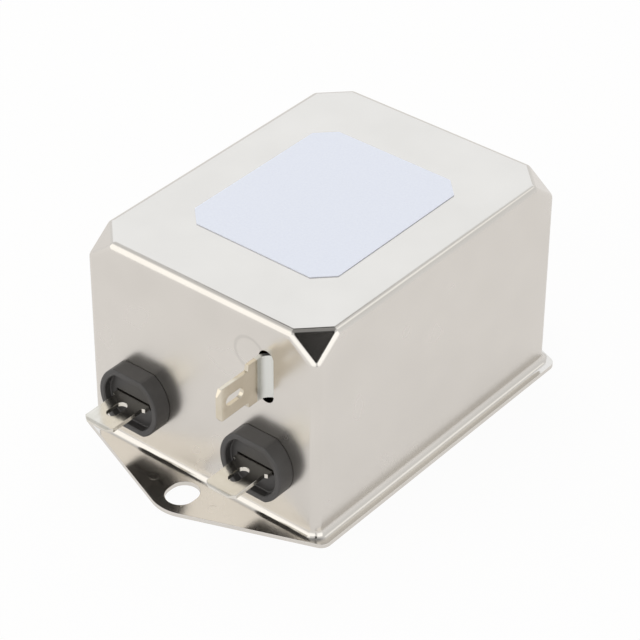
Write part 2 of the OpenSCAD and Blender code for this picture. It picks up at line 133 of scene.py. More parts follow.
def noise(tree, place, size_mm, detail=2.0, stretch=(1, 1, 1)):
    """Noise whose lumps are about size_mm across, longer where stretch is over 1."""
    moved = add(tree, "ShaderNodeMapping", {"Vector": place, "Scale": [1 / s for s in stretch]})
    return add(tree, "ShaderNodeTexNoise", {"Vector": moved.outputs[0], "Detail": detail,
                                            "Scale": 1 / (size_mm * MM)}).outputs[0]


def bump(tree, height, depth_mm):
    """Surface relief of the given depth."""
    return add(tree, "ShaderNodeBump", {"Height": height, "Strength": 1.0,
                                        "Distance": depth_mm * MM}).outputs[0]


def maths(tree, operation, first, second=0.0):
    """One step of arithmetic between sockets or numbers."""
    return add(tree, "ShaderNodeMath", {0: first, 1: second}, operation=operation).outputs[0]


def reach(tree, place, centre, axes=(1, 1, 1)):
    """Distance in millimetres from a point, measured only along the axes that are given."""
    moved = add(tree, "ShaderNodeVectorMath", {0: place, 1: [v * MM for v in centre]},
                operation="SUBTRACT").outputs[0]
    kept = add(tree, "ShaderNodeVectorMath", {0: moved, 1: [a / MM for a in axes]},
               operation="MULTIPLY").outputs[0]
    return add(tree, "ShaderNodeVectorMath", {0: kept}, operation="LENGTH").outputs["Value"]


def rise(tree, value, low, high):
    """Smooth step: 0 up to low, 1 from high on."""
    return add(tree, "ShaderNodeMapRange", {"Value": value, "From Min": low, "From Max": high},
               interpolation_type="SMOOTHSTEP").outputs[0]


def blend_colour(tree, share, first, second):
    """Colour between two colour sockets."""
    return add(tree, "ShaderNodeMix", {0: share, 6: first, 7: second},
               data_type="RGBA").outputs[2]


def blend_value(tree, share, first, second):
    """Number between two numbers or sockets."""
    return add(tree, "ShaderNodeMix", {0: share, 2: first, 3: second}).outputs[0]


print("colour check, mid grey:", round(linear("808080")[0], 3))

# %% [markdown]
# ## Nickel-plated steel
# The can is drawn from steel sheet and plated with bright nickel. Nickel is a slightly warm mirror
# whose fine grain blurs what it reflects. Drawing leaves a faint orange-peel waviness some
# millimetres across, and handling leaves soft smudges that only change the roughness. The press
# also leaves its prints: a faint ring on the line wall, above the earth tab, and a shallow round
# dimple on each side of an ear. The ring's shade is painted into the colour as a darker ring, a
# painted shade of its relief. The walls are rubbed by the die as the can is drawn, so they blur a
# reflection more than the top and the facets do.

# %% Nickel-plated steel
EAR_DIMPLE, DIMPLE_HEIGHT = (6.6, 37.3, 0.8), 32.0
PRESSED_RING, RING_R = (10.9, -32.4, 32.4), 3.0


def nickel_plated_steel():
    made, tree, place = start_material("nickel_plated_steel")
    smudge = noise(tree, place, 9.0)
    wave = noise(tree, place, 5.0, 1.0)
    grain = noise(tree, place, 0.25, 3.0)
    relief = maths(tree, "ADD", wave, grain)
    fourfold = add(tree, "ShaderNodeVectorMath", {0: place}, operation="ABSOLUTE").outputs[0]
    dimple = rise(tree, reach(tree, fourfold, EAR_DIMPLE), 0.5, 1.1)
    off_ring = maths(tree, "ABSOLUTE", maths(
        tree, "SUBTRACT", reach(tree, place, PRESSED_RING), RING_R))
    relief = maths(tree, "ADD", relief, maths(tree, "MULTIPLY", dimple, DIMPLE_HEIGHT))
    # The press ring is painted darker: a painted shade for the light and dark of its relief.
    press_ring_painted_shade = blend_value(tree, rise(tree, off_ring, 0.1, 0.5), 0.35, 0.0)
    colour = blend_colour(tree, press_ring_painted_shade, two_tone(tree, smudge, "D6D2CC", "DAD6D0"),
                          linear("BDB9B3"))
    facing = add(tree, "ShaderNodeTexCoord").outputs["Normal"]
    upward = rise(tree, add(tree, "ShaderNodeSeparateXYZ", {0: facing}).outputs["Z"], 0.3, 0.7)
    finish_material(tree, add(tree, "ShaderNodeBsdfPrincipled", {
        "Base Color": colour,
        "Metallic": 1.0,
        "Roughness": blend_value(tree, upward, spread(tree, smudge, 0.24, 0.28),
                                 spread(tree, smudge, 0.11, 0.14)),
        "Normal": bump(tree, relief, 0.0012)}))
    return made


NICKEL = nickel_plated_steel()
print("made", NICKEL.name)

# %% [markdown]
# ## Tinned brass
# Push-on blades are punched from brass strip and tinned. Tin is softer and yellower than nickel,
# and rolling the strip leaves fine streaks along it. Where the earth tab is bent it turns matt,
# and its colour is painted paler and cooler there as a painted highlight for the bend.

# %% Tinned brass
TAB_BEND_Y = -33.9


def tinned_brass(name, first, second, bend_from=None):
    """Tinned strip rolled along Y. Over the 0.4 mm before bend_from, in mm, it turns matt and its
    colour is painted paler and cooler, a painted highlight for the bend.
    """
    made, tree, place = start_material(name)
    lines = noise(tree, place, 0.3, 3.0, (1, 18, 1))
    cloud = noise(tree, place, 3.0)
    colour = two_tone(tree, cloud, first, second)
    rough = spread(tree, lines, 0.11, 0.2)
    if bend_from is not None:
        along = add(tree, "ShaderNodeSeparateXYZ", {0: place}).outputs["Y"]
        # From the bend on, the tin turns matt and its colour is painted paler and cooler, a
        # painted highlight.
        bend_painted_highlight = rise(tree, along, (bend_from - 0.4) * MM, bend_from * MM)
        colour = blend_colour(tree, bend_painted_highlight, colour, linear("DFE0DC"))
        rough = blend_value(tree, bend_painted_highlight, rough, 0.42)
    finish_material(tree, add(tree, "ShaderNodeBsdfPrincipled", {
        "Base Color": colour,
        "Metallic": 1.0,
        "Roughness": rough,
        "Normal": bump(tree, lines, 0.0015)}))
    return made


TINNED = tinned_brass("tinned_brass", "E0DDD6", "D6D2C8")
TINNED_TAB = tinned_brass("tinned_brass_tab", "DAD2C2", "D2C9B7", TAB_BEND_Y)
print("made", TINNED.name, TINNED_TAB.name)

# %% [markdown]
# ## Black nylon
# The insulators are moulded in glass-filled nylon, so they are a satin charcoal and not a deep
# black, with a very fine grain from the mould.

# %% Black nylon
def moulded_nylon(name, first, second, rough):
    made, tree, place = start_material(name)
    grain = noise(tree, place, 0.22, 3.0)
    cloud = noise(tree, place, 2.5)
    finish_material(tree, add(tree, "ShaderNodeBsdfPrincipled", {
        "Base Color": two_tone(tree, cloud, first, second),
        "Roughness": spread(tree, cloud, rough, rough + 0.08),
        "IOR": 1.53,
        "Normal": bump(tree, grain, 0.006)}))
    return made


BLACK_NYLON = moulded_nylon("black_nylon", "3C3A39", "434140", 0.42)
NATURAL_NYLON = moulded_nylon("natural_nylon", "E4DECD", "DAD3C0", 0.45)
print("made", BLACK_NYLON.name, NATURAL_NYLON.name)

# %% [markdown]
# ## Label film
# The label is a matt polyester film, cool white beside the warm nickel. It is left blank.

# %% Label film
def label_film():
    made, tree, place = start_material("polyester_label_film")
    fibre = noise(tree, place, 0.4, 3.0)
    finish_material(tree, add(tree, "ShaderNodeBsdfPrincipled", {
        "Base Color": two_tone(tree, fibre, "E2E6F1", "E6EAF4"),
        "Roughness": 0.42,
        "Normal": bump(tree, fibre, 0.002)}))
    return made


LABEL_FILM = label_film()
print("made", LABEL_FILM.name)

# %% [markdown]
# ## Helpers for meshes
# Pieces are written in millimetres and scaled to metres as they are made. Modifiers are worked
# out by Blender and the result is kept as a plain mesh, with its object at the origin.

# %% Helpers for meshes
def new_object(name, mesh):
    made = bpy.data.objects.new(name, mesh)
    bpy.context.scene.collection.objects.link(made)
    return made


def from_bmesh(name, bm):
    """Object from a bmesh written in millimetres, its faces turned outwards."""
    bmesh.ops.recalc_face_normals(bm, faces=bm.faces)
    bmesh.ops.scale(bm, vec=(MM, MM, MM), verts=bm.verts)
    mesh = bpy.data.meshes.new(name)
    bm.to_mesh(mesh)
    bm.free()
    return new_object(name, mesh)


def modifier(made, kind, **settings):
    added = made.modifiers.new(kind.lower(), kind)
    for name, value in settings.items():
        setattr(added, name, value)
    return added


def cut(made, *cutters):
    """Cuts shapes out of a piece with exact booleans."""
    for cutter in cutters:
        modifier(made, "BOOLEAN", object=cutter, operation="DIFFERENCE", solver="EXACT")


def prism(name, outline, axis, near, far):
    """Closed prism in millimetres: an outline in the plane across axis 1 (Y) or 2 (Z)."""
    bm = bmesh.new()
    place = {1: lambda p, h: (p[0], h, p[1]), 2: lambda p, h: (p[0], p[1], h)}[axis]
    rings = [[bm.verts.new(place(p, h)) for p in outline] for h in (near, far)]
    for ring in rings:
        bm.faces.new(ring)
    for i in range(len(outline)):
        j = (i + 1) % len(outline)
        bm.faces.new((rings[0][i], rings[0][j], rings[1][j], rings[1][i]))
    return from_bmesh(name, bm)


def arc(centre, radius, first, last, steps):
    """Points of an arc, its angles in degrees."""
    angles = [math.radians(first + (last - first) * i / steps) for i in range(steps + 1)]
    return [(centre[0] + radius * math.cos(a), centre[1] + radius * math.sin(a)) for a in angles]


def slot_outline(x, y, width, length, steps=20):
    """Slot with round ends, its length along the second axis."""
    half = (length - width) / 2
    return (arc((x, y + half), width / 2, 0, 180, steps)
            + arc((x, y - half), width / 2, 180, 360, steps))


def baked(made, *cutters):
    """Works out the modifiers and keeps the result as a plain mesh."""
    bpy.context.view_layer.update()
    seen = made.evaluated_get(bpy.context.evaluated_depsgraph_get())
    mesh = bpy.data.meshes.new_from_object(seen)
    name, old = made.name, made.data
    made.modifiers.clear()
    made.data = mesh
    mesh.name = name
    bpy.data.meshes.remove(old)
    for cutter in cutters:
        bpy.data.objects.remove(cutter)
    return made


def soften(made, width_mm, segments=2, angle=40):
    """Rounds the sharp edges a little and keeps the flats truly flat in the light.

    The shading breaks at every step of 20 degrees or more, so that a narrow rounding can't
    tilt the light on the flat beside it.
    """
    modifier(made, "BEVEL", width=width_mm * MM, segments=segments, limit_method="ANGLE",
             angle_limit=math.radians(angle), miter_outer="MITER_ARC")
    baked(made)
    for face in made.data.polygons:
        face.use_smooth = True
    made.data.set_sharp_from_angle(angle=math.radians(20))
    modifier(made, "WEIGHTED_NORMAL", weight=100, mode="FACE_AREA", keep_sharp=True)


def dress(made, material, slot, *stands_for):
    """Gives a finished piece its material and its place in the frame."""
    made.data.materials.clear()
    made.data.materials.append(material)
    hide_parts(*stands_for)
    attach(made, "root")
    print(made.name, "has", len(made.data.polygons), "faces")

# %% [markdown]
# ## The drawn can
# The can, its flange and its two ears are one sheet of steel. A press pulls it into a box, so all
# its edges are rounded, and each top corner gets a flat facet. The rounded box is the hull of
# points on small balls at its corners, which gives true roundings where facet, top and walls
# meet. Below it the skin turns outwards in a bend, then runs flat to the outline of the flange.
# Solidify gives the whole skin the thickness of the sheet, as in the real part.

# %% Sizes of the can
can_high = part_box("can")[1] / MM
SHEET = 0.8
EDGE_R = 1.5
BEND_R = 1.4
FLANGE_SIDE, FLANGE_END = 2.1, 10.1
HALF_W = can_high.x - FLANGE_SIDE
END_Y = can_high.y - FLANGE_END
HEIGHT = can_high.z
FACET_CUT, FACET_DROP = 5.9, 4.9
BLADE_X, BLADE_Z, NECK_HOLE_R = 13.5, 12.1, 4.65
SLOT_Y, SLOT_W, SLOT_L = 37.5, 5.4, 6.3
TAB_SLOT_X, TAB_SLOT_Z, TAB_SLOT_W, TAB_SLOT_L = 14.4, 29.3, 3.0, 10.2
print("can is", round(2 * HALF_W, 2), "by", round(2 * END_Y, 2), "by", round(HEIGHT, 2), "mm")

# %% Skin of the can
def ball_patch(at, directions, steps=12):
    """Points of a ball between three directions."""
    u, v, w = (Vector(d) for d in directions)
    return [at + EDGE_R * (i * u + j * v + (steps - i - j) * w).normalized()
            for i in range(steps + 1) for j in range(steps + 1 - i)]


def flange_outline():
    """Outline of the flange: round ear tips and corners joined by tangent flanks."""
    tip_r, corner_r = 8.0, 2.0
    tip = Vector((0, can_high.y - tip_r))
    corner = Vector((can_high.x - corner_r, END_Y - 1.1))
    across = corner - tip
    lean = math.degrees(math.atan2(-across.y, across.x)
                        + math.asin((tip_r - corner_r) / across.length))
    quarter = arc(tip, tip_r, 90, 90 - lean, 14) + arc(corner, corner_r, 90 - lean, 0, 8)
    half = quarter + [(x, -y) for x, y in reversed(quarter)]
    return half + [(-x, y) for x, y in reversed(half)][1:-1]


def ring(bm, points, z):
    """Closed ring of edges."""
    verts = [bm.verts.new((p[0], p[1], z)) for p in points]
    return [bm.edges.new((verts[i - 1], verts[i])) for i in range(len(verts))]


def can_skin():
    bm = bmesh.new()
    a = Vector((HALF_W - EDGE_R, END_Y - FACET_CUT, HEIGHT - EDGE_R))
    b = Vector((HALF_W - FACET_CUT, END_Y - EDGE_R, HEIGHT - EDGE_R))
    c = Vector((HALF_W - EDGE_R, END_Y - EDGE_R, HEIGHT - FACET_DROP))
    facet = (c - a).cross(b - a).normalized()
    x, y, z = Vector((1, 0, 0)), Vector((0, 1, 0)), Vector((0, 0, 1))
    quarter = ball_patch(a, (z, x, facet)) + ball_patch(b, (z, y, facet))
    quarter += ball_patch(c, (x, y, facet))
    foot_z = SHEET + BEND_R
    quarter += [Vector((c.x, c.y, foot_z)) + EDGE_R * Vector((i, 12 - i, 0)).normalized()
                for i in range(13)]
    for sx in (-1, 1):
        for sy in (-1, 1):
            for p in quarter:
                bm.verts.new((sx * p.x, sy * p.y, p.z))
    bmesh.ops.remove_doubles(bm, verts=bm.verts, dist=1e-4)
    bmesh.ops.convex_hull(bm, input=bm.verts)
    bmesh.ops.recalc_face_normals(bm, faces=bm.faces)
    bmesh.ops.dissolve_limit(bm, angle_limit=math.radians(0.3), verts=bm.verts, edges=bm.edges)
    bmesh.ops.delete(bm, geom=[f for f in bm.faces if f.normal.z < -0.99], context="FACES_ONLY")
    edges = [e for e in bm.edges if e.is_boundary]
    for k in range(1, 7):
        turn = math.radians(15 * k)
        grown = bmesh.ops.extrude_edge_only(bm, edges=edges)["geom"]
        edges = [g for g in grown if isinstance(g, bmesh.types.BMEdge)]
        for v in (g for g in grown if isinstance(g, bmesh.types.BMVert)):
            centre = Vector((math.copysign(c.x, v.co.x), math.copysign(c.y, v.co.y)))
            out = (v.co.xy - centre).normalized()
            flat = centre + out * (EDGE_R + BEND_R * (1 - math.cos(turn)))
            v.co = (flat.x, flat.y, foot_z - BEND_R * math.sin(turn))
    edges += ring(bm, flange_outline(), SHEET)
    for side in (-1, 1):
        edges += ring(bm, slot_outline(0, side * SLOT_Y, SLOT_W, SLOT_L), SHEET)
    bmesh.ops.triangle_fill(bm, use_beauty=True, edges=edges, normal=(0, 0, 1))
    return from_bmesh("drawn_can", bm)


can = can_skin()
print("skin has", len(can.data.polygons), "faces")

# %% Sheet thickness and holes
def tab_hole():
    outline = slot_outline(TAB_SLOT_X, TAB_SLOT_Z, TAB_SLOT_W, TAB_SLOT_L)
    return prism("cutter_tab", outline, 1, -END_Y - 2, -END_Y + 2)


def neck_holes():
    return [prism("cutter_neck", arc((sx * BLADE_X, BLADE_Z), NECK_HOLE_R, 0, 352.5, 47), 1,
                  sy * END_Y - 2, sy * END_Y + 2) for sx in (-1, 1) for sy in (-1, 1)]


modifier(can, "SOLIDIFY", thickness=SHEET * MM, offset=-1, use_even_offset=True)
cutters = [tab_hole()] + neck_holes()
cut(can, *cutters)
baked(can, *cutters)
soften(can, 0.14, 2, 55)
baked(can)
dress(can, NICKEL, "can_plating", "can")

# %% [markdown]
# ## Insulators
# Each blade passes through a black insulator: a short round with a flat top and bottom, hollow in
# front, whose neck snaps into the wall. It is lofted through a list of rings, each one an inset
# and a height, so the rounded lips come from the list itself.

# %% Insulators
CUP_R, CUP_FLAT, CUP_DEPTH, CUP_FLOOR, CUP_RIM = 6.5, 5.7, 3.4, 1.85, 1.15
NECK_R, CUP_LIP, CUP_STEPS = 4.6, 0.3, 96
GAP_HALF, GAP_LOW, GAP_HIGH = 3.9, -0.5, 0.62


def cup_ring(inset, steps=CUP_STEPS):
    """Round with a flat top and bottom, drawn in by an inset."""
    points = arc((0, 0), CUP_R - inset, 0, 360 - 360 / steps, steps - 1)
    flat = CUP_FLAT - inset
    return [(x, max(-flat, min(flat, y))) for x, y in points]


def insulator(end, side, sx, sy):
    neck = CUP_R - NECK_R
    lip = CUP_LIP
    profile = [(neck, -2.4), (neck, 0.0), (0.12, 0.0), (0.0, 0.12)]
    profile += [(0.0, CUP_DEPTH - lip), (lip * 0.29, CUP_DEPTH - lip * 0.29), (lip, CUP_DEPTH)]
    profile += [(CUP_RIM - 0.2, CUP_DEPTH), (CUP_RIM, CUP_DEPTH - 0.2),
                (CUP_RIM, CUP_FLOOR + 0.15), (CUP_RIM + 0.15, CUP_FLOOR)]
    bm = bmesh.new()
    rings = [[bm.verts.new((sx * BLADE_X + x, sy * (END_Y + out), BLADE_Z + z))
              for x, z in (arc((0, 0), NECK_R, 0, 356.25, CUP_STEPS - 1) if i < 2
                           else cup_ring(inset))]
             for i, (inset, out) in enumerate(profile)]
    for low, high in zip(rings, rings[1:]):
        for i in range(CUP_STEPS):
            bm.faces.new((low[i - 1], low[i], high[i], high[i - 1]))
    bm.faces.new(rings[0])
    bm.faces.new(rings[-1])
    made = from_bmesh(f"moulded_cup_{end}_{side}", bm)
    gap = [(sx * BLADE_X + x, BLADE_Z + z) for x, z in (
        (-GAP_HALF, GAP_LOW), (GAP_HALF, GAP_LOW), (GAP_HALF, GAP_HIGH), (-GAP_HALF, GAP_HIGH))]
    cutter = prism("cutter_slot", gap, 1, sy * (END_Y - 4), sy * (END_Y + 5))
    cut(made, cutter)
    soften(made, 0.04, 1, 25)
    baked(made, cutter)
    dress(made, BLACK_NYLON, "insulator_nylon", f"{end}_insulator_{side}")


CORNERS = [(end, side, sx, sy) for end, sy in (("line", -1), ("load", 1))
           for side, sx in (("left", -1), ("right", 1))]
for corner in CORNERS:
    insulator(*corner)

# %% [markdown]
# ## Blades
# A blade is a strip of sheet with shoulders near its root, an oblong eye that the push-on
# connector snaps into, and a bevelled tip with cut corners. It is lofted along its length:
# each station gives a place, a half width and a half thickness.

# %% Blades
BLADE_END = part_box("load_blade_left")[1].y / MM
HALF_T, TIP_T = 0.4, 0.175
ROOT_HALF, SHOULDER_HALF, BLADE_HALF, TIP_HALF = 2.5, 3.7, 3.15, 2.05
BLADE_INSIDE, TIP_L = 5.6, 0.85
EYE_W, EYE_L, EYE_AT = 2.0, 4.2, 5.2
WIRE_AT, WIRE_HOLE_R = 4.4, 0.7


def strip(name, stations):
    """Strip of sheet. A station is a centre, the width's direction, the normal and half sizes."""
    bm = bmesh.new()
    rings = []
    for centre, across, normal, w, t in stations:
        rings.append([bm.verts.new(centre + across * (w * a) + normal * (t * b))
                      for a, b in ((-1, -1), (1, -1), (1, 1), (-1, 1))])
    for low, high in zip(rings, rings[1:]):
        for i in range(4):
            bm.faces.new((low[i - 1], low[i], high[i], high[i - 1]))
    bm.faces.new(rings[0])
    bm.faces.new(rings[-1])
    return from_bmesh(name, bm)


def eye_cutter(x, y, z, upright):
    """Prism that punches the eye of a blade."""
    if upright:
        cutter = prism("cutter_eye", [(z + p[0], p[1]) for p in slot_outline(0, y, EYE_W, EYE_L)],
                       2, x - 2, x + 2)
        cutter.data.transform(Matrix(((0, 0, 1, 0), (0, 1, 0, 0), (1, 0, 0, 0), (0, 0, 0, 1))))
        cutter.data.flip_normals()
        return cutter
    return prism("cutter_eye", slot_outline(x, y, EYE_W, EYE_L), 2, z - 2, z + 2)


def blade(end, side, sx, sy):
    x, z = Vector((1, 0, 0)), Vector((0, 0, 1))
    line = [(END_Y - BLADE_INSIDE - SHEET, ROOT_HALF, HALF_T), (END_Y - 2.5, ROOT_HALF, HALF_T),
            (END_Y - 2.4, SHOULDER_HALF, HALF_T), (END_Y + 3.1, SHOULDER_HALF, HALF_T),
            (END_Y + 3.3, BLADE_HALF, HALF_T), (BLADE_END - TIP_L, BLADE_HALF, HALF_T),
            (BLADE_END, TIP_HALF, TIP_T)]
    made = strip(f"punched_blade_{end}_{side}",
                 [(Vector((sx * BLADE_X, sy * y, BLADE_Z)), x, z, w, t) for y, w, t in line])
    eye = eye_cutter(sx * BLADE_X, sy * (BLADE_END - EYE_AT), BLADE_Z, False)
    hole = arc((sx * BLADE_X, sy * (END_Y - SHEET - WIRE_AT)), WIRE_HOLE_R, 0, 345, 23)
    wire = prism("cutter_wire", hole, 2, BLADE_Z - 2, BLADE_Z + 2)
    cut(made, eye, wire)
    baked(made, eye, wire)
    soften(made, 0.07, 2, 30)
    baked(made)
    dress(made, TINNED, "blade_tin", f"{end}_blade_{side}")


for corner in CORNERS:
    blade(*corner)

# %% [markdown]
# ## Earth tab
# The earth tab is the same kind of blade, standing on edge. Behind a capsule-shaped slot in the
# wall it bends through a quarter turn into a foot, so the slot shows the hollow of the bend. The
# stations simply follow the bend.

# %% Earth tab
TAB_X, TAB_Z, TAB_BEND, TAB_FOOT = 13.6, 29.3, 2.0, 6.6
TAB_HALF, TAB_EYE_AT = 4.2, 4.0


def earth_tab():
    x, y, z = Vector((1, 0, 0)), Vector((0, 1, 0)), Vector((0, 0, 1))
    tip = -BLADE_END
    line = [(tip, TIP_HALF, TIP_T), (tip + TIP_L, BLADE_HALF, HALF_T),
            (-END_Y - 4.0, BLADE_HALF, HALF_T), (-END_Y - 3.8, TAB_HALF, HALF_T)]
    stations = [(Vector((TAB_X, v, TAB_Z)), z, x, w, t) for v, w, t in line]
    centre = Vector((TAB_X + HALF_T + TAB_BEND, -END_Y + SHEET - TAB_BEND, TAB_Z))
    for i in range(13):
        turn = math.radians(7.5 * i)
        out = -x * math.cos(turn) + y * math.sin(turn)
        stations.append((centre + out * (TAB_BEND + HALF_T), z, -out, TAB_HALF, HALF_T))
    stations.append((centre + y * (TAB_BEND + HALF_T) + x * TAB_FOOT, z, -y, TAB_HALF, HALF_T))
    made = strip("bent_earth_tab", stations)
    eye = eye_cutter(TAB_X, tip + TAB_EYE_AT, TAB_Z, True)
    cut(made, eye)
    baked(made, eye)
    soften(made, 0.07, 2, 30)
    baked(made)
    dress(made, TINNED_TAB, "earth_tin", "earth_tab")


earth_tab()

# %% [markdown]
# ## Label
# The label's CAD solid has the right shape already, so it only gets its film.

# %% Label
def paint(material, *names):
    """Gives CAD nodes whose shape is right a better material."""
    for name in names:
        nodes[name].data.materials.clear()
        nodes[name].data.materials.append(material)
    print(material.name, "on", len(names), "nodes")


paint(LABEL_FILM, "label")

# %% [markdown]
# ## Finishes of the parts inside
# What the can holds is hardly seen once it is closed, yet each part gets the finish of the real
# one: zinc on the plate, black potting resin, a green circuit board with its glass weave, powder
# coat on the ferrite cores, enamel on copper, a moulded case or a dipped coat on the capacitors.
# The places below are those of the CAD model, for the finishes and pieces that need them.

# %% Places on the board
BOARD_UNDER = 4.95
CHOKE_Y, CHOKE_LEAD = 11.4, (4.474, 5.65)
SIDE_X, DISC_Z, RESISTOR_Z, COAT_R = 19.3, 12.05, 8.15, 4.55
END_PIN, MIDDLE_PIN_X, LINK = (7.5, 22.1), 11.25, (13.5, 27.2)
DISC_PIN, RESISTOR_PIN = 3.75, 6.5
print("chokes stand at y", -CHOKE_Y, "and", CHOKE_Y, "mm")

# %% Plate, resin and board
def zinc_plate():
    made, tree, place = start_material("zinc_plated_steel")
    cloud = noise(tree, place, 6.0, 4.0)
    lines = noise(tree, place, 0.3, 3.0, (1, 25, 1))
    finish_material(tree, add(tree, "ShaderNodeBsdfPrincipled", {
        "Base Color": two_tone(tree, cloud, "BFC1C2", "CDCFD0"),
        "Metallic": 1.0,
        "Roughness": spread(tree, cloud, 0.26, 0.4),
        "Normal": bump(tree, lines, 0.002)}))
    return made


def coat(name, first, second, rough, size_mm, depth_mm, ior=1.5):
    """Plastic, resin or paint: a cloudy colour over lumps of the given size and depth."""
    made, tree, place = start_material(name)
    lumps = noise(tree, place, size_mm, 3.0)
    cloud = noise(tree, place, 4 * size_mm)
    finish_material(tree, add(tree, "ShaderNodeBsdfPrincipled", {
        "Base Color": two_tone(tree, cloud, first, second),
        "Roughness": spread(tree, cloud, rough, rough + 0.1),
        "IOR": ior,
        "Normal": bump(tree, lumps, depth_mm)}))
    return made


def board_mask(thread_mm=0.5):
    """Green solder mask over glass cloth. A wave texture has 20 bands to a unit of its scale."""
    made, tree, place = start_material("glass_epoxy_board")
    waves = [add(tree, "ShaderNodeTexWave", {"Vector": place, "Scale": 1 / (20 * thread_mm * MM)},
                 bands_direction=way).outputs["Fac"] for way in "XY"]
    weave = maths(tree, "ADD", *waves)
    cloud = noise(tree, place, 5.0)
    finish_material(tree, add(tree, "ShaderNodeBsdfPrincipled", {
        "Base Color": two_tone(tree, cloud, "2C5B3D", "336747"),
        "Roughness": spread(tree, cloud, 0.3, 0.4),
        "Normal": bump(tree, weave, 0.006)}))
    return made


paint(zinc_plate(), "base_plate")
paint(coat("potting_resin", "1B1B1D", "232326", 0.22, 2.5, 0.02, 1.55), "resin_layer")
paint(board_mask(), "circuit_board")

# %% Cores, cases and mouldings
paint(coat("powder_coat_on_ferrite", "2F6B57", "377562", 0.38, 0.5, 0.02),
      "choke_core_line", "choke_core_load")
paint(NATURAL_NYLON, "choke_stand_line", "choke_stand_load",
      "choke_divider_line", "choke_divider_load")
paint(coat("moulded_polyester_case", "D3A93A", "DBB246", 0.4, 0.3, 0.006, 1.55),
      "x_capacitor_line", "x_capacitor_middle", "x_capacitor_load")
# The earth strip lies past the tab's bend, so all of it gets the bend's paler painted-highlight
# colour.
paint(TINNED_TAB, "earth_strip")

# %% [markdown]
# ## Wires and dipped parts
# A bare wire is drawn copper. The disc capacitors and the resistor are one solid each with their
# leads, so their finish has to know where the coat ends: it measures the distance from the middle
# of the part and changes from coat to tinned wire there.

# %% Wires and dipped parts
def drawn_wire(name, first, second, enamel):
    made, tree, place = start_material(name)
    cloud = noise(tree, place, 1.5)
    finish_material(tree, add(tree, "ShaderNodeBsdfPrincipled", {
        "Base Color": two_tone(tree, cloud, first, second),
        "Metallic": 1.0,
        "Roughness": spread(tree, cloud, 0.18, 0.3),
        "Coat Weight": enamel,
        "Coat Roughness": 0.08,
        "Normal": bump(tree, cloud, 0.004)}))
    return made


def dipped(name, first, second, centre, axes, radius, bands=()):
    """Lacquer as far as radius millimetres from a centre, along the axes, and then bare wire."""
    made, tree, place = start_material(name)
    lumps = noise(tree, place, 1.8)
    far = reach(tree, place, centre, axes)
    wire = rise(tree, far, radius, radius + 0.05)
    colour = two_tone(tree, lumps, first, second)
    along = add(tree, "ShaderNodeSeparateXYZ", {0: place}).outputs["Y"]
    for at, ink in bands:
        off = maths(tree, "ABSOLUTE", maths(tree, "SUBTRACT", along, at * MM))
        colour = blend_colour(tree, rise(tree, off, 0.4 * MM, 0.45 * MM), linear(ink), colour)
    finish_material(tree, add(tree, "ShaderNodeBsdfPrincipled", {
        "Base Color": blend_colour(tree, wire, colour, linear("D2D0CA")),
        "Metallic": wire,
        "Roughness": spread(tree, lumps, 0.2, 0.3),
        "Normal": bump(tree, lumps, 0.03)}))
    return made


paint(drawn_wire("bare_copper_wire", "C98F6B", "D39C79", 0.0),
      "line_link_left", "line_link_right", "load_link_left", "load_link_right")
for side, sx in (("left", -1), ("right", 1)):
    paint(dipped("epoxy_dip_" + side, "2A5FA0", "3169AB", (sx * SIDE_X, CHOKE_Y, DISC_Z),
                 (0, 1, 1), COAT_R), "y_capacitor_" + side)
STRIPES = ((-13.9, "6B3F24"), (-12.3, "232323"), (-10.7, "3C7A45"), (-8.6, "B5923F"))
paint(dipped("resistor_lacquer", "CDB084", "D5BA90", (-SIDE_X, -CHOKE_Y, RESISTOR_Z),
             (0, 1, 0), COAT_R, STRIPES), "bleed_resistor")

# %% [markdown]
# ## Choke windings
# Each core carries two windings of thick enamelled wire, one on each side, that touch each other
# in the bore and spread on the outside. The rule is simple, so a geometry nodes tree draws it: a
# line of points is bent round the core's section by one angle while a second angle carries it
# along the ring. A high root of the sine squares the section, so the wire lies flat on the core.
# The tree works in millimetres and scales its result at the end.

# %% Winding tree
ENAMEL = drawn_wire("enamelled_copper_wire", "A9582B", "B7642F", 1.0)


def tree_inputs(tree, sizes):
    """Names the sizes of a geometry nodes tree and returns their sockets."""
    for name, value in sizes.items():
        socket = tree.interface.new_socket(name, in_out="INPUT", socket_type="NodeSocketFloat")
        socket.default_value = value
    tree.interface.new_socket("Result", in_out="OUTPUT", socket_type="NodeSocketGeometry")
    return tree.nodes.new("NodeGroupInput").outputs


def end_tree(tree, shape, material):
    """Scales the shape to metres, makes its instances real and gives it its material."""
    scaled = add(tree, "GeometryNodeTransform", {"Geometry": shape, "Scale": (MM, MM, MM)})
    real = add(tree, "GeometryNodeRealizeInstances", {"Geometry": scaled.outputs[0]})
    painted = add(tree, "GeometryNodeSetMaterial", {"Geometry": real.outputs[0],
                                                    "Material": material})
    add(tree, "NodeGroupOutput", {0: painted.outputs[0]})


def vector(tree, x, y, z):
    return add(tree, "ShaderNodeCombineXYZ", {0: x, 1: y, 2: z}).outputs[0]


def squared(tree, wave):
    """Turns a sine into one with flat tops, its sign kept."""
    size = maths(tree, "POWER", maths(tree, "ABSOLUTE", wave), 0.25)
    return maths(tree, "MULTIPLY", maths(tree, "SIGN", wave), size)


WINDING = {"Side": 1.0, "Middle": 0.0, "Turns": 13.5, "First angle": -66.0, "Last angle": 67.0,
           "Ring radius": 10.0, "Ring height": 21.95, "Half thickness": 3.65,
           "Half width": CHOKE_LEAD[1], "Wire": 1.1, "Lead place": CHOKE_LEAD[0],
           "Lead top": 11.9, "Lead foot": BOARD_UNDER}
FIRST_TURN_AT = 89.68


